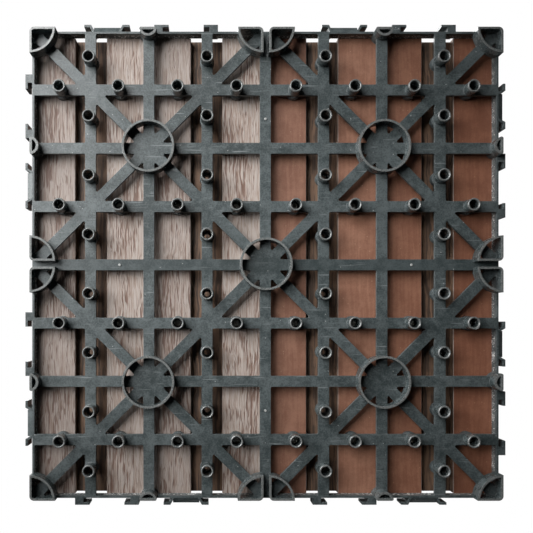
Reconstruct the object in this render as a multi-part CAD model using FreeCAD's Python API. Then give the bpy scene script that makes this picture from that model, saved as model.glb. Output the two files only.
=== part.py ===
import FreeCAD, Part
import math
import os

# Interlocking deck tile: four composite slats screwed onto a moulded plastic grid.
# Millimetres, +Z up, feet on Z = 0, tile centred on the Z axis.
# X runs across the slats, Y runs along them.

os.makedirs("parts", exist_ok=True)

# Tile body
BODY_SIDE = 300.0           # outside of the rim, square
BODY_CORNER_RADIUS = 3.0    # rim corners, and the outer corner of every cup
FOOT_HEIGHT = 7.0           # ground to the underside of the strips
STRIP_THICKNESS = 2.0
SLAT_SEAT_HEIGHT = 13.0     # ground to the underside of the slats
RIM_WALL = 1.4

# Grid of flat strips
CELLS_PER_SIDE = 8
STRIP_WIDTH = 7.0
STRIP_INNER_RADIUS = 0.8    # in the corners where strips and rim meet

# Tubular feet
POST_DIAMETER = 8.1
POST_LOWER_DIAMETER = 9.2   # behind the strips, up to the slats
POST_BORE = 5.8
POST_TIP_CHAMFER = 0.35     # outer edge of the tip
BORE_CHAMFER = 0.4          # inner edge of the tip
SCREW_SHELF = 3.6           # plastic at the far end of a foot's bore, under a screw head

# Rings, cups and half-rounds
RING_HEIGHT = 6.0           # how far they stand out from the strips
RING_OUTER_RADIUS = 16.7
RING_WALL = 1.4
CUP_RADIUS = 16.2
CUP_WALL = 1.4
CUP_SPACING = 3.7           # between the two cups in the middle of a side
HALF_ROUND_RADIUS = 5.7
HALF_ROUND_WALL = 1.6
HALF_ROUND_CORNER = 1.2     # where the flat meets the curve
GATE_PIP_DIAMETER = 1.6
GATE_PIP_HEIGHT = 0.5

# Edge clips
CLIP_SPACING = 51.0         # clips sit one and two spacings from the middle of a side
CLIP_REACH = 4.4            # how far a clip stands out from the rim
CLIP_LIP = 1.5              # thickness of the lip at the end of a clip
CLIP_HEIGHT = 9.0           # from the underside of the strips to past the rim
CLIP_ROOT = 0.4             # how far a clip is sunk into the rim
SOCKET_WIDTH = 41.0         # over the two blocks of a socket
SOCKET_POCKET = 30.2        # between the blocks, behind the lips
SOCKET_MOUTH = 22.5         # between the lips
SNAP_CLEARANCE = 0.6        # each side, snap tip to the end of the socket pocket
SNAP_OVERLAP = 2.8          # each side, snap tip behind the socket lip
SNAP_ARM = 1.6              # thickness of a spring arm
SNAP_FLARE = 2.4            # how far an arm leans outward from root to tip
RAMP_REACH = 3.5
RAMP_DROP = 2.0

# Slats
SLAT_COUNT = 4
SLAT_GAP = 3.5
SLAT_SIDE_INSET = 0.75      # outer slats to the outside of the rim; their ends are level with its inside
SLAT_THICKNESS = 9.0
SLAT_CHAMFER = 1.0
CHANNEL_WIDTH = 20.5
CHANNEL_DEPTH = 4.8
CHANNEL_CHAMFER = 0.4
TREAD_GROOVES = 7
TREAD_GROOVE_PITCH = 9.0
TREAD_GROOVE_WIDTH = 2.4
TREAD_GROOVE_DEPTH = 0.8

# Screws
SCREW_HEAD_DIAMETER = 5.0
SCREW_HEAD_HEIGHT = 2.0
SCREW_HEAD_CHAMFER = 0.7
RECESS_SPAN = 3.2           # cross recess for the driver
RECESS_WIDTH = 0.8
RECESS_DEPTH = 1.1
SCREW_SHANK_DIAMETER = 3.2
SCREW_BITE = 5.4            # length held in the slat, point included
SCREW_POINT = 1.4
SHELF_CLEARANCE = 0.15      # shank to its hole in the grid, all round
PILOT_CLEARANCE = 0.05      # shank to its hole in the slat, all round
PILOT_EXTRA_DEPTH = 0.3

# Worked out from the sizes above
HALF = BODY_SIDE / 2
QUADRANT = HALF / 2
PITCH = BODY_SIDE / CELLS_PER_SIDE
STRIP_BACK = FOOT_HEIGHT + STRIP_THICKNESS
RING_BOTTOM = FOOT_HEIGHT - RING_HEIGHT
RIM_HEIGHT = SLAT_SEAT_HEIGHT - FOOT_HEIGHT
SLAT_LENGTH = BODY_SIDE - 2 * RIM_WALL
SLAT_WIDTH = (BODY_SIDE - 2 * SLAT_SIDE_INSET - (SLAT_COUNT - 1) * SLAT_GAP) / SLAT_COUNT
SLAT_PITCH = SLAT_WIDTH + SLAT_GAP
HEAD_SEAT = SLAT_SEAT_HEIGHT - SCREW_SHELF
QUARTER_TURNS = (0, 90, 180, 270)


def vec(x, y, z=0.0):
    return FreeCAD.Vector(x, y, z)


def turned(shape, angle):
    """A copy of a shape turned about the middle of the tile."""
    copy = shape.copy()
    copy.rotate(vec(0, 0), vec(0, 0, 1), angle)
    return copy


def moved(shape, x, y, z=0.0):
    copy = shape.copy()
    copy.translate(vec(x, y, z))
    return copy


def prism(points, bottom, height):
    """An upright solid on a polygon given as (x, y) pairs."""
    corners = [vec(x, y, bottom) for x, y in points]
    outline = Part.makePolygon(corners + corners[:1])
    return Part.Face(outline).extrude(vec(0, 0, height))


def post(x, y, diameter, bottom, height):
    return Part.makeCylinder(diameter / 2, height, vec(x, y, bottom))


def spun(section):
    """A solid of revolution about the Z axis from (radius, height) pairs."""
    corners = [vec(radius, 0, height) for radius, height in section]
    outline = Part.makePolygon(corners + corners[:1])
    return Part.Face(outline).revolve(vec(0, 0), vec(0, 0, 1), 360)


def upright_edges(shape):
    return [edge for edge in shape.Edges if abs(edge.tangentAt(edge.FirstParameter).z) > 0.5]


def rounded_square(side, radius, bottom, height):
    half = side / 2
    block = Part.makeBox(side, side, height, vec(-half, -half, bottom))
    return block.makeFillet(radius, upright_edges(block))


def land_places():
    """Feet on the cross strips, over the thick lands of the slats; these take the screws."""
    rows = [side * QUADRANT + step for side in (-1, 1) for step in (-PITCH, PITCH)]
    return [((cell + 0.5) * PITCH - HALF, y) for y in rows for cell in range(CELLS_PER_SIDE)]


def channel_places():
    """Feet on the strips that run along the slats, over their channels; these stay empty."""
    return [(y, x) for x, y in land_places()]


def strip_between(start, end):
    """One flat strip of the grid, long enough to be trimmed by the body's outline."""
    length = math.hypot(end[0] - start[0], end[1] - start[1])
    angle = math.degrees(math.atan2(end[1] - start[1], end[0] - start[0]))
    corner = vec(-STRIP_WIDTH, -STRIP_WIDTH / 2, FOOT_HEIGHT)
    strip = Part.makeBox(length + 2 * STRIP_WIDTH, STRIP_WIDTH, STRIP_THICKNESS, corner)
    strip.rotate(vec(0, 0), vec(0, 0, 1), angle)
    return moved(strip, start[0], start[1])


def strips():
    """Strips on every cell line, and the diagonals of each quadrant."""
    pieces = []
    for line in range(1, CELLS_PER_SIDE):
        at = line * PITCH - HALF
        pieces.append(strip_between((at, -HALF), (at, HALF)))
        pieces.append(strip_between((-HALF, at), (HALF, at)))
    pieces.append(strip_between((-HALF, -HALF), (HALF, HALF)))
    pieces.append(strip_between((-HALF, HALF), (HALF, -HALF)))
    pieces += [turned(strip_between((-HALF, 0), (0, -HALF)), angle) for angle in QUARTER_TURNS]
    return pieces[0].multiFuse(pieces[1:])


def inside_rim(height):
    side = BODY_SIDE - 2 * RIM_WALL
    return rounded_square(side, BODY_CORNER_RADIUS - RIM_WALL, FOOT_HEIGHT, height)


def eased(opening):
    """An opening between the strips with its corners rounded."""
    floor = min(opening.Faces, key=lambda face: face.CenterOfMass.z)
    shrunk = floor.makeOffset2D(-STRIP_INNER_RADIUS)
    return shrunk.makeOffset2D(STRIP_INNER_RADIUS).extrude(vec(0, 0, STRIP_THICKNESS))


def lattice():
    """The flat plate of the grid: what is left of a square when the openings are cut out."""
    plate = rounded_square(BODY_SIDE, BODY_CORNER_RADIUS, FOOT_HEIGHT, STRIP_THICKNESS)
    openings = inside_rim(STRIP_THICKNESS).cut(strips())
    return plate.cut(Part.makeCompound([eased(opening) for opening in openings.Solids]))


def rim():
    outer = rounded_square(BODY_SIDE, BODY_CORNER_RADIUS, FOOT_HEIGHT, RIM_HEIGHT)
    return outer.cut(inside_rim(RIM_HEIGHT))


def ring(x, y):
    height = STRIP_BACK - RING_BOTTOM
    outer = post(x, y, 2 * RING_OUTER_RADIUS, RING_BOTTOM, height)
    return outer.cut(post(x, y, 2 * (RING_OUTER_RADIUS - RING_WALL), RING_BOTTOM, height))


def cup_outline(inset):
    """Quarter disc with its square corner, rounded, at the origin; the rest in +X +Y."""
    near = inset
    far = math.sqrt((CUP_RADIUS - inset) ** 2 - inset ** 2)
    corner = BODY_CORNER_RADIUS - inset
    start = near + corner
    soft = start - corner * math.sqrt(0.5)
    mid_arc = (CUP_RADIUS - inset) * math.sqrt(0.5)
    edges = [
        Part.makeLine(vec(near, far), vec(near, start)),
        Part.Arc(vec(near, start), vec(soft, soft), vec(start, near)).toShape(),
        Part.makeLine(vec(start, near), vec(far, near)),
        Part.Arc(vec(far, near), vec(mid_arc, mid_arc), vec(near, far)).toShape(),
    ]
    return Part.Face(Part.Wire(edges))


def cup():
    """The wall of one cup, standing on the strips with its corner at the origin."""
    height = STRIP_BACK - RING_BOTTOM
    outer = cup_outline(0.0).extrude(vec(0, 0, height))
    inner = cup_outline(CUP_WALL).extrude(vec(0, 0, height))
    return moved(outer.cut(inner), 0, 0, RING_BOTTOM)


def side_cups():
    """The corner cup, and the two cups in the middle of the -Y side."""
    right = moved(cup(), CUP_SPACING / 2, -HALF)
    left = right.mirror(vec(0, 0), vec(1, 0))
    return [moved(cup(), -HALF, -HALF), left, right]


def half_round(x):
    """A half tube flush with the rim of the -Y side, as tall as the whole base."""
    height = SLAT_SEAT_HEIGHT - RING_BOTTOM
    outer = post(x, -HALF, 2 * HALF_ROUND_RADIUS, RING_BOTTOM, height)
    inner = post(x, -HALF, 2 * (HALF_ROUND_RADIUS - HALF_ROUND_WALL), RING_BOTTOM, height)
    reach = 2 * HALF_ROUND_RADIUS
    inside = Part.makeBox(reach, reach, height, vec(x - reach / 2, -HALF, RING_BOTTOM))
    hollow = Part.makeBox(reach, reach, height, vec(x - reach / 2, HALF_ROUND_WALL - HALF, RING_BOTTOM))
    shell = outer.common(inside)
    shell = shell.makeFillet(HALF_ROUND_CORNER, upright_edges(shell))
    return shell.cut(inner.common(hollow))


def clip_prism(points, x):
    """A clip part from (along the side, out from the rim) pairs, on the -Y side."""
    placed = [(x + along, -HALF - out) for along, out in points]
    return prism(placed, FOOT_HEIGHT, CLIP_HEIGHT)


def both_ways(points):
    return [points, [(-along, out) for along, out in points]]


def socket(x):
    """Two blocks whose lips point at each other; the neighbour's snap goes behind them."""
    root = -CLIP_ROOT
    under_lip = CLIP_REACH - CLIP_LIP
    hook = [
        (SOCKET_WIDTH / 2, root),
        (SOCKET_WIDTH / 2, CLIP_REACH),
        (SOCKET_MOUTH / 2, CLIP_REACH),
        (SOCKET_MOUTH / 2, under_lip),
        (SOCKET_POCKET / 2, under_lip),
        (SOCKET_POCKET / 2, root),
    ]
    return [clip_prism(side, x) for side in both_ways(hook)]


def snap(x):
    """Two spring arms that lean outward and end in lips, with a ramp between them."""
    root = -CLIP_ROOT
    tip = SOCKET_POCKET / 2 - SNAP_CLEARANCE
    under_lip = CLIP_REACH - CLIP_LIP
    arm_tip = SOCKET_MOUTH / 2 - (SNAP_OVERLAP - (tip - SOCKET_MOUTH / 2))
    lean = SNAP_FLARE / CLIP_REACH
    arm = [
        (arm_tip - lean * (CLIP_REACH - root), root),
        (arm_tip - lean * (CLIP_REACH - root) - SNAP_ARM, root),
        (arm_tip - SNAP_ARM, CLIP_REACH),
        (tip, CLIP_REACH),
        (tip, under_lip),
        (arm_tip - lean * CLIP_LIP, under_lip),
    ]
    pieces = [clip_prism(side, x) for side in both_ways(arm)]
    ramp_half = arm_tip - SNAP_FLARE - SNAP_ARM / 2
    section = [
        vec(x - ramp_half, -HALF - root, FOOT_HEIGHT),
        vec(x - ramp_half, -HALF, FOOT_HEIGHT),
        vec(x - ramp_half, -HALF - RAMP_REACH, FOOT_HEIGHT + RAMP_DROP),
        vec(x - ramp_half, -HALF - RAMP_REACH, SLAT_SEAT_HEIGHT),
        vec(x - ramp_half, -HALF - root, SLAT_SEAT_HEIGHT),
    ]
    outline = Part.makePolygon(section + section[:1])
    pieces.append(Part.Face(outline).extrude(vec(2 * ramp_half, 0)))
    return pieces


def side_features():
    """Everything that repeats on each of the four sides, made on the -Y side."""
    pieces = side_cups()
    pieces += [half_round(-QUADRANT), half_round(QUADRANT)]
    for middle in (-2 * CLIP_SPACING, CLIP_SPACING):
        pieces += snap(middle)
        pieces += socket(-middle)
    pip_height = GATE_PIP_HEIGHT + STRIP_THICKNESS / 2
    pieces.append(post(0, -QUADRANT - PITCH / 2, GATE_PIP_DIAMETER, FOOT_HEIGHT - GATE_PIP_HEIGHT, pip_height))
    return pieces


def foot():
    """A foot without its bore, tip down; it is wider behind the strips."""
    slim = POST_DIAMETER / 2
    wide = POST_LOWER_DIAMETER / 2
    section = [
        (0, 0),
        (slim - POST_TIP_CHAMFER, 0),
        (slim, POST_TIP_CHAMFER),
        (slim, STRIP_BACK),
        (wide, STRIP_BACK),
        (wide, SLAT_SEAT_HEIGHT),
        (0, SLAT_SEAT_HEIGHT),
    ]
    return spun(section)


def foot_bore():
    """The bore of a foot as a cutting tool: a flare at the tip, and a shelf with a hole for a screw's shank."""
    bore = POST_BORE / 2
    hole = SCREW_SHANK_DIAMETER / 2 + SHELF_CLEARANCE
    section = [
        (0, 0),
        (bore + BORE_CHAMFER, 0),
        (bore, BORE_CHAMFER),
        (bore, HEAD_SEAT),
        (hole, HEAD_SEAT),
        (hole, SLAT_SEAT_HEIGHT),
        (0, SLAT_SEAT_HEIGHT),
    ]
    return spun(section)


def base_grid():
    """The one-piece moulding: feet, strips, rim and clips."""
    grid = lattice()
    solids = [rim()]
    solids += [ring(0, 0)]
    solids += [ring(x, y) for x in (-QUADRANT, QUADRANT) for y in (-QUADRANT, QUADRANT)]
    for angle in QUARTER_TURNS:
        solids += [turned(piece, angle) for piece in side_features()]
    one_foot = foot()
    solids += [moved(one_foot, x, y) for x, y in land_places() + channel_places()]
    grid = grid.multiFuse(solids)
    one_bore = foot_bore()
    bores = [moved(one_bore, x, y) for x, y in land_places() + channel_places()]
    return grid.cut(Part.makeCompound(bores)).removeSplitter()


def slat_section(middle):
    """End outline of a slat: a channel below, grooves above and eased corners."""
    half = SLAT_WIDTH / 2
    top = SLAT_SEAT_HEIGHT + SLAT_THICKNESS
    channel = CHANNEL_WIDTH / 2
    points = [
        (-half, SLAT_SEAT_HEIGHT),
        (-channel - CHANNEL_CHAMFER, SLAT_SEAT_HEIGHT),
        (-channel, SLAT_SEAT_HEIGHT + CHANNEL_CHAMFER),
        (-channel, SLAT_SEAT_HEIGHT + CHANNEL_DEPTH),
        (channel, SLAT_SEAT_HEIGHT + CHANNEL_DEPTH),
        (channel, SLAT_SEAT_HEIGHT + CHANNEL_CHAMFER),
        (channel + CHANNEL_CHAMFER, SLAT_SEAT_HEIGHT),
        (half, SLAT_SEAT_HEIGHT),
        (half, top - SLAT_CHAMFER),
        (half - SLAT_CHAMFER, top),
    ]
    for groove in reversed(range(TREAD_GROOVES)):
        at = (groove - (TREAD_GROOVES - 1) / 2) * TREAD_GROOVE_PITCH
        points.append((at + TREAD_GROOVE_WIDTH / 2, top))
        points.append((at + TREAD_GROOVE_WIDTH / 4, top - TREAD_GROOVE_DEPTH))
        points.append((at - TREAD_GROOVE_WIDTH / 4, top - TREAD_GROOVE_DEPTH))
        points.append((at - TREAD_GROOVE_WIDTH / 2, top))
    points.append((SLAT_CHAMFER - half, top))
    points.append((-half, top - SLAT_CHAMFER))
    corners = [vec(middle + x, -SLAT_LENGTH / 2, z) for x, z in points]
    return Part.Face(Part.makePolygon(corners + corners[:1]))


def slat(index):
    middle = (index - (SLAT_COUNT - 1) / 2) * SLAT_PITCH
    board = slat_section(middle).extrude(vec(0, SLAT_LENGTH))
    pilot = SCREW_SHANK_DIAMETER + 2 * PILOT_CLEARANCE
    depth = SCREW_BITE + PILOT_EXTRA_DEPTH
    own = [(x, y) for x, y in land_places() if abs(x - middle) < SLAT_PITCH / 2]
    holes = [post(x, y, pilot, SLAT_SEAT_HEIGHT, depth) for x, y in own]
    return board.cut(Part.makeCompound(holes))


def screw():
    """Pan-head screw, point up, with the underside of its head at Z = 0."""
    head = SCREW_HEAD_DIAMETER / 2
    shank = SCREW_SHANK_DIAMETER / 2
    length = SCREW_SHELF + SCREW_BITE
    section = [
        (0, -SCREW_HEAD_HEIGHT),
        (head - SCREW_HEAD_CHAMFER, -SCREW_HEAD_HEIGHT),
        (head, SCREW_HEAD_CHAMFER - SCREW_HEAD_HEIGHT),
        (head, 0),
        (shank, 0),
        (shank, length - SCREW_POINT),
        (0, length),
    ]
    corner = vec(-RECESS_SPAN / 2, -RECESS_WIDTH / 2, -SCREW_HEAD_HEIGHT)
    slot = Part.makeBox(RECESS_SPAN, RECESS_WIDTH, RECESS_DEPTH, corner)
    return spun(section).cut(slot.fuse(turned(slot, 90)))


def screws():
    one = screw()
    return Part.makeCompound([moved(one, x, y, HEAD_SEAT) for x, y in land_places()])


base_grid().exportStep("parts/base_grid.step")
for number in range(SLAT_COUNT):
    slat(number).exportStep("parts/slat_%d.step" % (number + 1))
screws().exportStep("parts/screws.step")
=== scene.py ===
"""Dress and light an interlocking deck tile, looked at from below as it is in the photograph."""

import logging
import math
from dataclasses import dataclass, field
from enum import Enum
from typing import Any, Union

import bpy
from mathutils import Matrix, Vector


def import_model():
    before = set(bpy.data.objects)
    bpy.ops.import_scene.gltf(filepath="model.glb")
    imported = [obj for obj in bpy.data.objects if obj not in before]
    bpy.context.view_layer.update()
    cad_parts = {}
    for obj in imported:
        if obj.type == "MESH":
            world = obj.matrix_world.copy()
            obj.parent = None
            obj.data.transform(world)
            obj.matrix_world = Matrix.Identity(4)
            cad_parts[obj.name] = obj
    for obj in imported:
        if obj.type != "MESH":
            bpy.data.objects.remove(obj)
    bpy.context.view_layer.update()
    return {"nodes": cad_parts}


LOG = logging.getLogger("deck_tile")

Socket = bpy.types.NodeSocket
Value = Union[Socket, float, tuple[float, ...]]
Colour = tuple[float, float, float, float]
Triple = tuple[float, float, float]
Span = tuple[float, float]


def pale(value: float) -> Colour:
    """Return a neutral colour of the given brightness."""
    return (value, value, value, 1.0)


class SlatFace(Enum):
    """Which face of the reversible boards points down."""

    GRAINED = "grained"
    SMOOTH = "smooth"


@dataclass(frozen=True)
class Noise:
    """One noise texture: its scale per metre, a number or a socket, its detail and its roughness."""

    scale: Value
    detail: float
    rough: float = 0.5


@dataclass(frozen=True)
class Specks:
    """How specks are strewn: cells per metre, a speck's radius in cells, and the share of cells with one."""

    per_metre: float
    size: float
    share: float


@dataclass(frozen=True)
class Grain:
    """How close grain lies: lines and streaks per metre, and how far streaks crowd everywhere."""

    lines: float
    streaks: float
    crowding: float


class Graph:
    """A thin wrapper that adds nodes to a tree and wires them up."""

    def __init__(self, tree: bpy.types.NodeTree) -> None:
        """Keep the tree.

        Args:
            tree: Node tree of a material, a world or a group.
        """
        self.tree = tree

    def feed(self, value: Value, socket: Socket) -> None:
        """Link an output socket to an input socket, or set the input's own value.

        Args:
            value: An output socket or a plain value.
            socket: The input that takes it.
        """
        if isinstance(value, Socket):
            self.tree.links.new(value, socket)
        else:
            socket.default_value = value

    def add(self, kind: str, inputs: dict[Any, Value] | None = None, **settings: Any) -> bpy.types.Node:
        """Add one node.

        Args:
            kind: Blender's identifier of the node type.
            inputs: Socket name or index to a value, or to the output socket that feeds it.
            settings: Properties set on the node itself.

        Returns:
            The new node.
        """
        node = self.tree.nodes.new(kind)
        for name, value in settings.items():
            setattr(node, name, value)
        for name, value in (inputs or {}).items():
            self.feed(value, node.inputs[name])
        return node

    def math(self, operation: str, first: Value, second: Value = 0.0) -> Socket:
        """Return the result of one operation on two numbers or sockets."""
        return self.add("ShaderNodeMath", {0: first, 1: second}, operation=operation).outputs[0]

    def times(self, first: Value, *others: Value) -> Value:
        """Return a product, such as that of masks that must all hold.

        Args:
            first: The first factor.
            others: The factors after it.

        Returns:
            The product of all of them.
        """
        for other in others:
            first = self.math("MULTIPLY", first, other)
        return first

    def weighted(self, *terms: tuple[Value, float]) -> Value:
        """Return the sum of values, each times its weight.

        Args:
            terms: Pairs of a value and its weight.

        Returns:
            The sum.
        """
        parts = [self.math("MULTIPLY", value, weight) for value, weight in terms]
        total = parts[0]
        for part in parts[1:]:
            total = self.math("ADD", total, part)
        return total

    def near(self, value: Value, middle: float, reach: float) -> Socket:
        """Return 1 where a value lies within a reach of a middle, and 0 elsewhere."""
        return self.add("ShaderNodeMath", {0: value, 1: middle, 2: reach}, operation="COMPARE").outputs[0]

    def band(self, value: Value, low: float, high: float) -> Socket:
        """Return 0 below low and 1 above high, with a smooth rise between them."""
        values = {"Value": value, "From Min": low, "From Max": high}
        return self.add("ShaderNodeMapRange", values, interpolation_type="SMOOTHSTEP").outputs["Result"]

    def blend(self, factor: Value, first: Value, second: Value, mode: str = "MIX") -> Socket:
        """Return two colours mixed by a factor.

        Args:
            factor: Share of the second colour.
            first: The colour at a factor of 0.
            second: The colour at a factor of 1.
            mode: Blender's name of the way to mix.

        Returns:
            The mixed colour.
        """
        values = {0: factor, 6: first, 7: second}
        node = self.add("ShaderNodeMix", values, data_type="RGBA", blend_type=mode, clamp_factor=True)
        return node.outputs[2]

    def stretched(self, place: Socket, scale: Triple, turn: float = 0.0) -> Socket:
        """Return coordinates scaled by axis and turned about Z, in degrees."""
        values = {"Vector": place, "Rotation": (0.0, 0.0, math.radians(turn)), "Scale": scale}
        return self.add("ShaderNodeMapping", values).outputs[0]

    def parts(self, vector: Socket) -> tuple[Socket, ...]:
        """Return the X, Y and Z of a vector."""
        return tuple(self.add("ShaderNodeSeparateXYZ", {0: vector}).outputs)

    def noise(self, place: Socket, kind: Noise) -> Socket:
        """Return a noise value about 0.5."""
        values = {"Vector": place, "Scale": kind.scale, "Detail": kind.detail, "Roughness": kind.rough}
        return self.add("ShaderNodeTexNoise", values).outputs[0]


def new_group(
    name: str, inputs: dict[str, str], outputs: dict[str, str]
) -> tuple[bpy.types.NodeTree, Graph, bpy.types.Node, bpy.types.Node]:
    """Start a shader node group.

    Args:
        name: Name of the group.
        inputs: Socket name to its type.
        outputs: Socket name to its type.

    Returns:
        The group, its graph, its input node and its output node.
    """
    group = bpy.data.node_groups.new(name, "ShaderNodeTree")
    for in_out, sockets in (("INPUT", inputs), ("OUTPUT", outputs)):
        for label, kind in sockets.items():
            group.interface.new_socket(name=label, in_out=in_out, socket_type=kind)
    graph = Graph(group)
    return group, graph, graph.add("NodeGroupInput"), graph.add("NodeGroupOutput")


def dust_group() -> bpy.types.NodeTree:
    """Build the mask of pale specks left by sawdust and handling.

    A speck is a small disc round the seed of a cell; only a share of the cells have one.

    Returns:
        A group that puts out one mask.
    """
    inputs = {
        "Vector": "NodeSocketVector",
        "Specks per metre": "NodeSocketFloat",
        "Size": "NodeSocketFloat",
        "Share": "NodeSocketFloat",
    }
    group, graph, given, result = new_group("dust_specks", inputs, {"Mask": "NodeSocketFloat"})
    values = {"Vector": given.outputs["Vector"], "Scale": given.outputs["Specks per metre"]}
    cells = graph.add("ShaderNodeTexVoronoi", values)
    disc = graph.math("LESS_THAN", cells.outputs["Distance"], given.outputs["Size"])
    red = graph.add("ShaderNodeSeparateColor", {0: cells.outputs["Color"]}).outputs[0]
    chosen = graph.math("LESS_THAN", red, given.outputs["Share"])
    graph.feed(graph.times(disc, chosen), result.inputs["Mask"])
    return group


@dataclass(frozen=True)
class GrainPattern:
    """Lengthwise grain along Y: fine even lines, and sparse dark streaks in clusters.

    Noises are stretched along Y; a slow one bends them, and another says where the streaks crowd.
    """

    bend: Noise = Noise(45.0, 2.0)
    bend_reach: float = 0.0035
    line_detail: Span = (3.0, 0.6)
    line_stretch: Triple = (1.0, 0.045, 1.0)
    line_band: Span = (0.30, 0.70)
    streak_detail: Span = (2.0, 0.55)
    streak_stretch: Triple = (1.0, 0.075, 1.0)
    streak_band: Span = (0.60, 0.72)
    cluster: Noise = Noise(60.0, 1.0)
    cluster_stretch: Triple = (1.0, 0.35, 1.0)
    cluster_band: Span = (0.40, 0.66)
    cluster_share: float = 0.13

    def group(self) -> bpy.types.NodeTree:
        """Build the group that puts out the lines and the streaks.

        Returns:
            The group; its outputs run from 0 to 1.
        """
        inputs = {
            "Vector": "NodeSocketVector",
            "Lines per metre": "NodeSocketFloat",
            "Streaks per metre": "NodeSocketFloat",
            "Crowding": "NodeSocketFloat",
        }
        outputs = {"Lines": "NodeSocketFloat", "Streaks": "NodeSocketFloat"}
        group, graph, given, result = new_group("lengthwise_grain", inputs, outputs)
        place = given.outputs["Vector"]
        wander = graph.times(graph.noise(place, self.bend), self.bend_reach)
        bent = graph.add("ShaderNodeVectorMath", {0: place, 1: wander}, operation="ADD").outputs[0]
        close = Noise(given.outputs["Lines per metre"], *self.line_detail)
        fine = graph.noise(graph.stretched(bent, self.line_stretch), close)
        sparse = Noise(given.outputs["Streaks per metre"], *self.streak_detail)
        streaks = graph.noise(graph.stretched(bent, self.streak_stretch), sparse)
        clusters = graph.noise(graph.stretched(place, self.cluster_stretch), self.cluster)
        crowd = graph.times(graph.band(clusters, *self.cluster_band), self.cluster_share)
        crowd = graph.math("ADD", crowd, given.outputs["Crowding"])
        marks = graph.band(graph.math("ADD", streaks, crowd), *self.streak_band)
        graph.feed(graph.band(fine, *self.line_band), result.inputs["Lines"])
        graph.feed(marks, result.inputs["Streaks"])
        return group


@dataclass
class Effects:
    """The node groups that more than one finish uses."""

    dust: bpy.types.NodeTree = field(default_factory=dust_group)
    lengthwise: bpy.types.NodeTree = field(default_factory=GrainPattern().group)

    def specks(self, graph: Graph, place: Socket, kind: Specks) -> Socket:
        """Place the dust group in a material and return its mask."""
        values = {"Vector": place, "Specks per metre": kind.per_metre, "Size": kind.size, "Share": kind.share}
        return graph.add("ShaderNodeGroup", values, node_tree=self.dust).outputs["Mask"]

    def grain(self, graph: Graph, place: Socket, kind: Grain) -> tuple[Socket, Socket]:
        """Place the grain group in a material and return its lines and its streaks.

        Args:
            graph: The material's graph.
            place: Object coordinates.
            kind: How close the grain lies.

        Returns:
            The lines and the streaks, both from 0 to 1.
        """
        values = {
            "Vector": place,
            "Lines per metre": kind.lines,
            "Streaks per metre": kind.streaks,
            "Crowding": kind.crowding,
        }
        node = graph.add("ShaderNodeGroup", values, node_tree=self.lengthwise)
        return node.outputs["Lines"], node.outputs["Streaks"]


def start_material(name: str) -> tuple[bpy.types.Material, Graph, bpy.types.Node, Socket]:
    """Start a material with an empty tree.

    Args:
        name: Name of the finish.

    Returns:
        The material, its graph, its Principled shader and the object coordinates.
    """
    material = bpy.data.materials.new(name)
    material.use_nodes = True
    material.node_tree.nodes.clear()
    graph = Graph(material.node_tree)
    shader = graph.add("ShaderNodeBsdfPrincipled")
    graph.add("ShaderNodeOutputMaterial", {"Surface": shader.outputs[0]})
    place = graph.add("ShaderNodeTexCoord").outputs["Object"]
    return material, graph, shader, place


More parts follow.
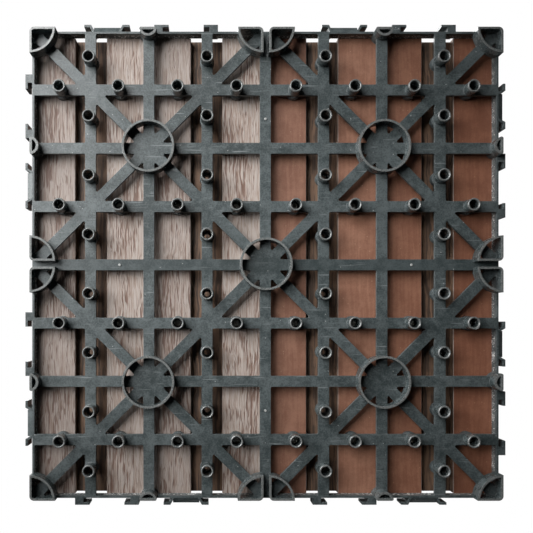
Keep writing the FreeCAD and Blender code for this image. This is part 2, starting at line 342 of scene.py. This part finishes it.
@dataclass(frozen=True)
class GridPlastic:
    """Charcoal polypropylene, satin, speckled and scuffed, with sawdust inside its rim, painted highlights on
    pips, edges and tips, and painted shade on the middle strip.
    """

    dark: Colour = (0.026, 0.036, 0.037, 1.0)
    light: Colour = (0.090, 0.107, 0.110, 1.0)
    scuff: Colour = (0.22, 0.24, 0.245, 1.0)
    edge_wear_and_highlight: Colour = (0.17, 0.18, 0.18, 1.0)
    tip_wear_and_highlight: Colour = (0.185, 0.19, 0.185, 1.0)
    pip_highlight: Colour = (0.36, 0.37, 0.36, 1.0)
    dust: Colour = (0.74, 0.74, 0.73, 1.0)
    # The plastic's own tone is three noises, added by their shares
    mottle: Noise = Noise(170.0, 4.0, 0.65)
    mottle_share: float = 0.35
    broad: Noise = Noise(18.0, 2.0)
    broad_share: float = 0.25
    speckle: Noise = Noise(1050.0, 2.0, 0.6)
    speckle_share: float = 0.40
    tone_band: Span = (0.38, 0.62)
    # Scratches: each run's turn in degrees and its scale per metre
    scratch_runs: tuple[Span, ...] = ((38.0, 900.0), (-24.0, 1100.0), (63.0, 800.0))
    scratch_detail: float = 1.0
    scratch_stretch: Triple = (0.05, 1.0, 1.0)
    scratch_band: Span = (0.71, 0.79)
    scratch_share: float = 0.65
    # The strip that runs across the middle is darkened as painted shade
    middle_strip: float = 0.0046
    middle_shade_share: float = 0.45
    # Gate pips stand on the two middle strips, this near and this far from the tile's middle; they are
    # painted pale as a highlight
    pip_reach: Span = (0.030, 0.130)
    strip_face: float = 0.0068
    # Edges and tips painted pale, partly as wear and partly as a painted highlight
    edge_radius: float = 0.0003
    edge_samples: int = 4
    edge_band: Span = (0.0, 0.16)
    edge_share: float = 0.55
    edge_speckle: Span = (0.15, 0.62)
    tip_height: float = 0.0012
    tip_share: float = 0.8
    tip_speckle: Span = (0.15, 0.65)
    # Sawdust: sparse all over, thick with a smear under it on the inner wall of the rim
    sparse: Specks = Specks(620.0, 0.19, 0.022)
    sparse_share: float = 0.42
    thick: Specks = Specks(880.0, 0.47, 0.42)
    thick_share: float = 0.95
    smear: Noise = Noise(420.0, 4.0, 0.7)
    smear_band: Span = (0.42, 0.75)
    smear_share: float = 0.42
    rim_inside: Span = (0.14845, 0.1488)
    strip_back: float = 0.0092
    # Gloss and relief
    strip_roughness: float = 0.43
    feet_roughness: float = 0.27
    roughness_spread: float = 0.16
    speckle_height: float = 1.0
    mottle_height: float = 1.2
    relief: float = 0.45
    relief_depth: float = 0.0001
    ior: float = 1.5
    shine: float = 0.6

    def build(self, effects: Effects) -> bpy.types.Material:
        """Build the finish.

        Args:
            effects: The shared node groups.

        Returns:
            The material.
        """
        material, graph, shader, place = start_material("grid_plastic")
        mottle = graph.noise(place, self.mottle)
        speckle = graph.noise(place, self.speckle)
        broad = graph.noise(place, self.broad)
        shares = (mottle, self.mottle_share), (broad, self.broad_share), (speckle, self.speckle_share)
        colour = graph.blend(graph.band(graph.weighted(*shares), *self.tone_band), self.dark, self.light)
        colour = graph.blend(self._scratches(graph, place), colour, self.scuff)
        # Painted shade: the middle strip is darkened
        colour = graph.blend(self._middle_shade(graph, place), colour, self.dark)
        # Painted highlight: the gate pips are painted pale
        colour = graph.blend(self._pip_highlights(graph, place), colour, self.pip_highlight)
        bevel = graph.add("ShaderNodeBevel", {"Radius": self.edge_radius}, samples=self.edge_samples)
        soft = bevel.outputs[0]
        # Edges painted pale, partly wear, partly painted highlight
        colour = graph.blend(self._edge_wear_and_highlight(graph, soft, speckle), colour, self.edge_wear_and_highlight)
        # Tips painted pale, partly wear, partly painted highlight
        colour = graph.blend(self._tip_wear_and_highlight(graph, place, speckle), colour, self.tip_wear_and_highlight)
        colour = graph.blend(self._dust(graph, effects, place), colour, self.dust)
        graph.feed(colour, shader.inputs["Base Color"])
        graph.feed(self._roughness(graph, place, mottle), shader.inputs["Roughness"])
        relief = {
            "Strength": self.relief,
            "Distance": self.relief_depth,
            "Height": graph.weighted((speckle, self.speckle_height), (mottle, self.mottle_height)),
            "Normal": soft,
        }
        graph.feed(graph.add("ShaderNodeBump", relief).outputs[0], shader.inputs["Normal"])
        shader.inputs["IOR"].default_value = self.ior
        shader.inputs["Specular IOR Level"].default_value = self.shine
        return material

    def _roughness(self, graph: Graph, place: Socket, mottle: Socket) -> Socket:
        """Vary the roughness with the mottle, lower on the feet than on the strips.

        Args:
            graph: The material's graph.
            place: Object coordinates.
            mottle: Noise that varies the gloss.

        Returns:
            The roughness.
        """
        strips = graph.math("GREATER_THAN", graph.parts(place)[2], self.strip_face)
        lowest = self.feet_roughness - self.roughness_spread / 2
        rough = graph.math("ADD", graph.times(mottle, self.roughness_spread), lowest)
        return graph.math("ADD", rough, graph.times(strips, self.strip_roughness - self.feet_roughness))

    def _middle_shade(self, graph: Graph, place: Socket) -> Socket:
        """Return a mask of the strip that runs across the middle, which is darkened as painted shade."""
        along = graph.math("ABSOLUTE", graph.parts(place)[1])
        return graph.times(graph.math("LESS_THAN", along, self.middle_strip), self.middle_shade_share)

    def _pip_highlights(self, graph: Graph, place: Socket) -> Socket:
        """Mask the four gate pips on the two middle strips, which are painted pale as a highlight of the
        small bumps.

        Args:
            graph: The material's graph.
            place: Object coordinates.

        Returns:
            A mask, 1 on the pips.
        """
        across, along, up = (graph.math("ABSOLUTE", part) for part in graph.parts(place))
        on_strip = graph.math("LESS_THAN", graph.math("MINIMUM", across, along), self.middle_strip)
        far = graph.math("MAXIMUM", across, along)
        past_ring = graph.math("GREATER_THAN", far, self.pip_reach[0])
        before_cups = graph.math("LESS_THAN", far, self.pip_reach[1])
        return graph.times(on_strip, past_ring, before_cups, graph.math("LESS_THAN", up, self.strip_face))

    def _scratches(self, graph: Graph, place: Socket) -> Socket:
        """Mask thin scratches in several directions.

        Args:
            graph: The material's graph.
            place: Object coordinates.

        Returns:
            A mask from 0 to 1.
        """
        scratches = 0.0
        for turn, scale in self.scratch_runs:
            drawn_out = graph.stretched(place, self.scratch_stretch, turn)
            run = graph.noise(drawn_out, Noise(scale, self.scratch_detail))
            scratches = graph.math("MAXIMUM", scratches, graph.band(run, *self.scratch_band))
        return graph.times(scratches, self.scratch_share)

    def _edge_wear_and_highlight(self, graph: Graph, soft: Socket, speckle: Socket) -> Socket:
        """Mask edges painted pale, partly as wear and partly as a painted highlight: where the rounded normal
        leaves the face's own.

        Args:
            graph: The material's graph.
            soft: Normals rounded at the edges.
            speckle: Fine noise that breaks the rubbing up.

        Returns:
            A mask from 0 to 1.
        """
        true_normal = graph.add("ShaderNodeNewGeometry").outputs["True Normal"]
        facing = graph.add("ShaderNodeVectorMath", {0: soft, 1: true_normal}, operation="DOT_PRODUCT")
        edge = graph.band(graph.math("SUBTRACT", 1.0, facing.outputs["Value"]), *self.edge_band)
        return graph.times(edge, self.edge_share, graph.band(speckle, *self.edge_speckle))

    def _tip_wear_and_highlight(self, graph: Graph, place: Socket, speckle: Socket) -> Socket:
        """Return a mask of the lowest faces, the tips of feet, rings and cups, painted pale partly as
        handling wear and partly as a painted highlight.
        """
        low = graph.math("LESS_THAN", graph.parts(place)[2], self.tip_height)
        return graph.times(low, self.tip_share, graph.band(speckle, *self.tip_speckle))

    def _dust(self, graph: Graph, effects: Effects, place: Socket) -> Socket:
        """Mask sawdust: sparse all over, thick on the rim's inner wall.

        Args:
            graph: The material's graph.
            effects: The shared node groups.
            place: Object coordinates.

        Returns:
            A mask from 0 to 1.
        """
        sparse = effects.specks(graph, place, self.sparse)
        thick = effects.specks(graph, place, self.thick)
        across, along, up = graph.parts(place)
        out = graph.math("MAXIMUM", graph.math("ABSOLUTE", across), graph.math("ABSOLUTE", along))
        inner, outer = self.rim_inside
        wall = graph.near(out, (inner + outer) / 2, (outer - inner) / 2)
        wall = graph.times(wall, graph.math("GREATER_THAN", up, self.strip_back))
        smear = graph.band(graph.noise(place, self.smear), *self.smear_band)
        thick_film = graph.times(thick, self.thick_share)
        film = graph.math("MAXIMUM", thick_film, graph.times(smear, self.smear_share))
        return graph.math("MAXIMUM", graph.times(sparse, self.sparse_share), graph.times(wall, film))


@dataclass(frozen=True)
class Composite:
    """Wood-plastic composite: smooth extruded brown, with one face of each board embossed with pale grain."""

    face: SlatFace
    brown: Colour = (0.292, 0.138, 0.084, 1.0)
    deep_brown: Colour = (0.200, 0.080, 0.043, 1.0)
    # The channel's colours are darker than the boards' as painted shade in the recess
    channel: Colour = (0.180, 0.102, 0.060, 1.0)
    deep_channel_shade: Colour = (0.050, 0.028, 0.017, 1.0)
    greige: Colour = (0.395, 0.338, 0.302, 1.0)
    warm_greige: Colour = (0.260, 0.184, 0.146, 1.0)
    grain_brown: Colour = (0.120, 0.052, 0.030, 1.0)
    fleck: Colour = (0.46, 0.30, 0.20, 1.0)
    chamfer_highlight: Colour = (0.32, 0.27, 0.24, 1.0)
    # Tints by place, boards counted from -X: the first board, the left lands and the last land are darkened
    # as painted shade, and the fourth board is darker and browner
    first_board_shade: Colour = (0.92, 0.92, 0.92, 1.0)
    left_land_shade: Colour = (0.80, 0.79, 0.79, 1.0)
    fourth_tint: Colour = (0.84, 0.76, 0.69, 1.0)
    last_land_shade: Colour = (0.96, 0.87, 0.80, 1.0)
    # Heights and widths of the boards' parts
    board_pitch: float = 0.0755
    last_middle: float = 1.5 * board_pitch
    channel_half: float = 0.01035
    channel_top: float = 0.0185
    land_top: float = 0.0131
    chamfer_top: float = 0.0136
    tread_base: float = 0.0208
    # The smooth face: three patterns, added by their shares, and pale flecks
    blotch: Noise = Noise(80.0, 5.0, 0.7)
    blotch_share: float = 0.75
    fine_grain: Grain = Grain(620.0, 330.0, 0.0)
    fine_share: float = 0.15
    pepper: Noise = Noise(1100.0, 2.0)
    pepper_share: float = 0.25
    tone_band: Span = (0.40, 0.78)
    flecks: Specks = Specks(640.0, 0.24, 0.03)
    fleck_share: float = 0.45
    # The embossed face
    emboss: Grain = Grain(1350.0, 900.0, 0.02)
    cloud: Noise = Noise(190.0, 4.0, 0.65)
    cloud_stretch: Triple = (1.0, 0.16, 1.0)
    line_share: float = 0.62
    cloud_share: float = 0.9
    pale_band: Span = (0.36, 1.0)
    streak_share: float = 0.8
    # The channel's lines over browns darkened as painted shade, and its chamfers, whose normals point down
    # and aside, painted pale as a highlight
    channel_band: Span = (0.1, 0.9)
    chamfer_normal: float = -0.7
    chamfer_spread: float = 0.2
    chamfer_share: float = 0.8
    # Gloss and relief
    roughness: float = 0.70
    shine: float = 0.75
    fine_height: float = 0.3
    line_height: float = 0.6
    emboss_height: float = 2.0
    relief: float = 0.5
    relief_depth: float = 0.0002

    def build(self, effects: Effects) -> bpy.types.Material:
        """Build the finish.

        Args:
            effects: The shared node groups.

        Returns:
            The material.
        """
        material, graph, shader, place = start_material("composite_" + self.face.value)
        across, _, up = graph.parts(place)
        fine, _ = effects.grain(graph, place, self.fine_grain)
        blotch = graph.noise(place, self.blotch)
        colour = self._smooth(graph, effects, place, blotch, fine)
        # The fourth board, at +X, is darker and browner
        fourth_board = graph.math("GREATER_THAN", across, self.board_pitch)
        colour = graph.blend(fourth_board, colour, self.fourth_tint, "MULTIPLY")
        embossed = self._embossed(graph, up)
        grained, grain_height = self._grained(graph, effects, place)
        colour = graph.blend(embossed, colour, grained)
        # Painted shade on the left lands, the last land and the first board
        colour = self._painted_land_shade(graph, across, colour)
        # Painted shade: the channel's roof and walls take darker browns, with the extruded lines
        lines = graph.math("ADD", fine, graph.math("SUBTRACT", blotch, 0.5))
        shaded_roof = graph.blend(graph.band(lines, *self.channel_band), self.deep_channel_shade, self.channel)
        colour = graph.blend(self._channel_shade_mask(graph, across, up), colour, shaded_roof)
        # Painted highlight: the chamfers beside the channel are painted pale
        colour = graph.blend(self._chamfer_highlight_mask(graph, up), colour, self.chamfer_highlight)
        graph.feed(colour, shader.inputs["Base Color"])
        shader.inputs["Roughness"].default_value = self.roughness
        shader.inputs["Specular IOR Level"].default_value = self.shine
        grain_height = graph.times(grain_height, embossed)
        relief = {
            "Strength": self.relief,
            "Distance": self.relief_depth,
            "Height": graph.weighted((fine, self.fine_height), (grain_height, self.emboss_height)),
        }
        graph.feed(graph.add("ShaderNodeBump", relief).outputs[0], shader.inputs["Normal"])
        return material

    def _smooth(self, graph: Graph, effects: Effects, place: Socket, blotch: Socket, fine: Socket) -> Socket:
        """Return the colour of the extruded faces.

        Args:
            graph: The material's graph.
            effects: The shared node groups.
            place: Object coordinates.
            blotch: Slow noise.
            fine: Fine lengthwise lines.

        Returns:
            A colour between the two browns, with pale flecks.
        """
        pepper = graph.noise(place, self.pepper)
        shares = (blotch, self.blotch_share), (fine, self.fine_share), (pepper, self.pepper_share)
        tone = graph.band(graph.weighted(*shares), *self.tone_band)
        colour = graph.blend(tone, self.deep_brown, self.brown)
        flecks = effects.specks(graph, place, self.flecks)
        return graph.blend(graph.times(flecks, self.fleck_share), colour, self.fleck)

    def _embossed(self, graph: Graph, up: Socket) -> Socket:
        """Mask the grained face: the lands below, or the tread where the smooth face is below.

        Args:
            graph: The material's graph.
            up: Height above the ground.

        Returns:
            A mask, 1 on the grained face.
        """
        if self.face is SlatFace.GRAINED:
            return graph.math("LESS_THAN", up, self.land_top)
        return graph.math("GREATER_THAN", up, self.tread_base)

    def _grained(self, graph: Graph, effects: Effects, place: Socket) -> tuple[Socket, Socket]:
        """Make the embossed grain.

        Args:
            graph: The material's graph.
            effects: The shared node groups.
            place: Object coordinates.

        Returns:
            The colour and the height.
        """
        lines, streaks = effects.grain(graph, place, self.emboss)
        cloud = graph.noise(graph.stretched(place, self.cloud_stretch), self.cloud)
        pale_tone = graph.weighted((lines, self.line_share), (cloud, self.cloud_share))
        ground = graph.blend(graph.band(pale_tone, *self.pale_band), self.warm_greige, self.greige)
        colour = graph.blend(graph.times(streaks, self.streak_share), ground, self.grain_brown)
        return colour, graph.math("SUBTRACT", graph.times(lines, self.line_height), streaks)

    def _along_pitch(self, graph: Graph, across: Socket) -> Socket:
        """Return how far across its board a point lies, from 0 to 1, with the channel at 0.5."""
        return graph.math("FRACT", graph.math("DIVIDE", across, self.board_pitch))

    def _painted_land_shade(self, graph: Graph, across: Socket, colour: Socket) -> Socket:
        """Darken left lands, the last land and the first board as painted shade.

        Args:
            graph: The material's graph.
            across: Distance from the tile's middle along X.
            colour: The colour so far.

        Returns:
            The tinted colour.
        """
        left = graph.math("LESS_THAN", self._along_pitch(graph, across), 0.5)
        left = graph.times(left, graph.math("LESS_THAN", across, self.board_pitch))
        colour = graph.blend(left, colour, self.left_land_shade, "MULTIPLY")
        last = graph.math("GREATER_THAN", across, self.last_middle)
        colour = graph.blend(last, colour, self.last_land_shade, "MULTIPLY")
        first = graph.math("LESS_THAN", across, -self.board_pitch)
        return graph.blend(first, colour, self.first_board_shade, "MULTIPLY")

    def _channel_shade_mask(self, graph: Graph, across: Socket, up: Socket) -> Socket:
        """Mask the channel's roof and walls, which stay as extruded and are painted darker as shade.

        Args:
            graph: The material's graph.
            across: Distance from the tile's middle along X.
            up: Height above the ground.

        Returns:
            A mask, 1 in the channels.
        """
        off = graph.math("ABSOLUTE", graph.math("SUBTRACT", self._along_pitch(graph, across), 0.5))
        near = graph.math("LESS_THAN", off, self.channel_half / self.board_pitch)
        below_roof = graph.math("LESS_THAN", up, self.channel_top)
        return graph.times(near, below_roof, graph.math("GREATER_THAN", up, self.land_top))

    def _chamfer_highlight_mask(self, graph: Graph, up: Socket) -> Socket:
        """Mask the small chamfers beside the channel, which are painted pale as a highlight.

        Args:
            graph: The material's graph.
            up: Height above the ground.

        Returns:
            A mask from 0 to 1.
        """
        normal = graph.parts(graph.add("ShaderNodeNewGeometry").outputs["True Normal"])
        slanted = graph.near(normal[2], self.chamfer_normal, self.chamfer_spread)
        low = graph.math("LESS_THAN", up, self.chamfer_top)
        return graph.times(slanted, low, self.chamfer_share)


@dataclass(frozen=True)
class ScrewSteel:
    """Zinc-plated steel, slightly dulled."""

    colour: Colour = (0.62, 0.59, 0.56, 1.0)
    stain: Colour = (0.34, 0.26, 0.21, 1.0)
    cloud: Noise = Noise(700.0, 3.0)
    stain_band: Span = (0.4, 0.7)
    metal: float = 0.6
    roughness: float = 0.25
    roughness_spread: float = 0.3

    def build(self) -> bpy.types.Material:
        """Build the finish.

        Returns:
            The material.
        """
        material, graph, shader, place = start_material("screw_steel")
        cloud = graph.noise(place, self.cloud)
        colour = graph.blend(graph.band(cloud, *self.stain_band), self.colour, self.stain)
        graph.feed(colour, shader.inputs["Base Color"])
        shader.inputs["Metallic"].default_value = self.metal
        rough = graph.math("ADD", graph.times(cloud, self.roughness_spread), self.roughness)
        graph.feed(rough, shader.inputs["Roughness"])
        return material


@dataclass
class Tile:
    """The deck tile's CAD nodes and their finishes."""

    nodes: dict[str, bpy.types.Object]
    effects: Effects = field(default_factory=Effects)
    grained: tuple[str, ...] = ("slat_1", "slat_2")
    smooth: tuple[str, ...] = ("slat_3", "slat_4")

    def dress(self) -> None:
        """Give every node its material."""
        self._finish("base_grid", GridPlastic().build(self.effects))
        for names, face in ((self.grained, SlatFace.GRAINED), (self.smooth, SlatFace.SMOOTH)):
            composite = Composite(face).build(self.effects)
            for name in names:
                self._finish(name, composite)
        self._finish("screws", ScrewSteel().build())

    def _finish(self, name: str, material: bpy.types.Material) -> None:
        """Put one material on a node's every slot.

        Args:
            name: Name of the CAD node.
            material: The finish.
        """
        piece = self.nodes[name]
        if not piece.material_slots:
            piece.data.materials.append(material)
        for slot in piece.material_slots:
            slot.material = material
        LOG.info("%s dressed in %s", name, material.name)


@dataclass(frozen=True)
class Lamp:
    """One soft light: its name, where its middle hangs and its side in metres, and its power in watts."""

    name: str
    place: Triple
    size: float
    watts: float


@dataclass(frozen=True)
class Studio:
    """A camera under the tile, a floor that only a camera above it sees, and soft lamps."""

    # The photograph's frame and viewpoint, measured on the face of the strips
    image_side: int = 533
    strip_height: float = 0.007
    camera_gap: float = 0.361
    eye_x: float = -0.0405
    eye_y: float = 0.0392
    tile_pixel: Span = (265.4, 264.8)
    pixels_per_metre: float = 1554.5
    sensor: float = 36.0
    clip: Span = (0.01, 50.0)
    # Light
    ambient: float = 0.010
    key_below: Lamp = Lamp("key_below", (-0.94, -0.61, -0.70), 1.30, 224.0)
    key_above: Lamp = Lamp("key_above", (-0.70, -0.55, 0.90), 0.70, 26.0)
    fill_behind: Lamp = Lamp("fill_behind", (0.88, 0.74, 0.28), 0.50, 5.0)
    lamp_aim: Triple = (0.0, 0.0, 0.01)
    panel_rows: int = 5
    panel_softness: float = 0.45
    panel_reach: float = 0.27
    panel_aim: Triple = (-0.092, -0.047, 0.01)
    # The floor is lit near the tile and fades into the white background with distance
    floor_half: float = 6.0
    floor_tone: float = 0.82
    floor_fade: Span = (0.22, 0.75)

    def camera(self) -> None:
        """Place the camera square to the tile, with the shift that centres the tile in the frame."""
        data = bpy.data.cameras.new("camera")
        data.sensor_width = self.sensor
        focal_pixels = self.pixels_per_metre * self.camera_gap
        data.lens = focal_pixels / self.image_side * self.sensor
        middle = self.image_side / 2
        eye_pixel_x = self.tile_pixel[0] + self.eye_x * self.pixels_per_metre
        eye_pixel_y = self.tile_pixel[1] + self.eye_y * self.pixels_per_metre
        data.shift_x = (middle - eye_pixel_x) / self.image_side
        data.shift_y = (eye_pixel_y - middle) / self.image_side
        data.clip_start, data.clip_end = self.clip
        camera = bpy.data.objects.new("camera", data)
        right = Vector((1.0, 0.0, 0.0))
        up = Vector((0.0, -1.0, 0.0))
        back = Vector((0.0, 0.0, -1.0))
        turn = Matrix((right, up, back)).transposed().to_4x4()
        spot = Vector((self.eye_x, self.eye_y, self.strip_height - self.camera_gap))
        camera.matrix_world = Matrix.Translation(spot) @ turn
        bpy.context.scene.collection.objects.link(camera)
        bpy.context.scene.camera = camera

    def _hang(self, name: str, data: bpy.types.Light, place: Vector, aim: Vector) -> None:
        """Hang a light at a place, turned to a point.

        Args:
            name: Name of the light's object.
            data: The light.
            place: Where it hangs.
            aim: The point that it faces.
        """
        light = bpy.data.objects.new(name, data)
        turn = (aim - place).to_track_quat("-Z", "Y").to_matrix().to_4x4()
        light.matrix_world = Matrix.Translation(place) @ turn
        bpy.context.scene.collection.objects.link(light)

    def lamp(self, lamp: Lamp) -> None:
        """Add a square soft lamp that points at the middle of the tile.

        Args:
            lamp: Its name, place, side and power.
        """
        data = bpy.data.lights.new(lamp.name, "AREA")
        data.shape = "SQUARE"
        data.size = lamp.size
        data.energy = lamp.watts
        self._hang(lamp.name, data, Vector(lamp.place), Vector(self.lamp_aim))

    def panel(self, lamp: Lamp) -> None:
        """Add a wide soft light that ends just outside the tile, as a softbox with a grid does.

        It is a square of small spots, all aimed at one point, that share the lamp's power.

        Args:
            lamp: The lamp that the spots stand for.
        """
        aim = Vector(self.panel_aim)
        middle = Vector(lamp.place)
        turn = (aim - middle).to_track_quat("-Z", "Y")
        step = lamp.size / self.panel_rows
        data = bpy.data.lights.new(lamp.name, "SPOT")
        data.energy = lamp.watts / self.panel_rows ** 2
        data.shadow_soft_size = self.panel_softness * step
        data.spot_size = 2.0 * math.atan(self.panel_reach / (aim - middle).length)
        data.spot_blend = 1.0
        centre = (self.panel_rows - 1) / 2
        for index in range(self.panel_rows ** 2):
            row, column = divmod(index, self.panel_rows)
            offset = Vector((column - centre, row - centre, 0.0)) * step
            self._hang(f"{lamp.name}_{index}", data, middle + turn @ offset, aim)

    def floor(self) -> None:
        """Lay a pale floor that only a camera above it sees; lamps and bounced light pass through it."""
        half = self.floor_half
        mesh = bpy.data.meshes.new("floor")
        corners = [(-half, -half, 0.0), (half, -half, 0.0), (half, half, 0.0), (-half, half, 0.0)]
        mesh.from_pydata(corners, [], [(0, 1, 2, 3)])
        floor = bpy.data.objects.new("floor", mesh)
        bpy.context.scene.collection.objects.link(floor)
        material = bpy.data.materials.new("floor_pale")
        material.use_nodes = True
        material.node_tree.nodes.clear()
        graph = Graph(material.node_tree)
        lit = graph.add("ShaderNodeBsdfDiffuse", {"Color": pale(self.floor_tone)})
        white = graph.add("ShaderNodeEmission", {"Color": pale(1.0), "Strength": 1.0})
        place = graph.add("ShaderNodeTexCoord").outputs["Object"]
        away = graph.add("ShaderNodeVectorMath", {0: place}, operation="LENGTH").outputs["Value"]
        fade = graph.band(away, *self.floor_fade)
        shown = graph.add("ShaderNodeMixShader", {0: fade, 1: lit.outputs[0], 2: white.outputs[0]})
        clear = graph.add("ShaderNodeBsdfTransparent")
        below = graph.add("ShaderNodeNewGeometry").outputs["Backfacing"]
        seen = graph.add("ShaderNodeLightPath").outputs["Is Camera Ray"]
        from_above = graph.times(graph.math("SUBTRACT", 1.0, below), seen)
        mix = graph.add("ShaderNodeMixShader", {0: from_above, 1: clear.outputs[0], 2: shown.outputs[0]})
        graph.add("ShaderNodeOutputMaterial", {"Surface": mix.outputs[0]})
        mesh.materials.append(material)

    def world(self) -> None:
        """Set a white background over a dim even light."""
        world = bpy.data.worlds.new("studio")
        world.use_nodes = True
        world.node_tree.nodes.clear()
        graph = Graph(world.node_tree)
        light = graph.add("ShaderNodeBackground", {"Color": pale(1.0), "Strength": self.ambient})
        white = graph.add("ShaderNodeBackground", {"Color": pale(1.0), "Strength": 1.0})
        seen = graph.add("ShaderNodeLightPath").outputs["Is Camera Ray"]
        mix = graph.add("ShaderNodeMixShader", {0: seen, 1: light.outputs[0], 2: white.outputs[0]})
        graph.add("ShaderNodeOutputWorld", {"Surface": mix.outputs[0]})
        bpy.context.scene.world = world

    def build(self) -> None:
        """Set up the whole studio."""
        self.camera()
        self.floor()
        self.world()
        self.panel(self.key_below)
        self.lamp(self.key_above)
        self.lamp(self.fill_behind)
        bpy.context.scene.view_settings.view_transform = "Standard"
        LOG.info("studio ready")


def main() -> None:
    """Build the picture of the tile."""
    logging.basicConfig(level=logging.INFO, format="%(message)s")
    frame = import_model()
    Tile(frame["nodes"]).dress()
    Studio().build()


if __name__ == "__main__":
    main()
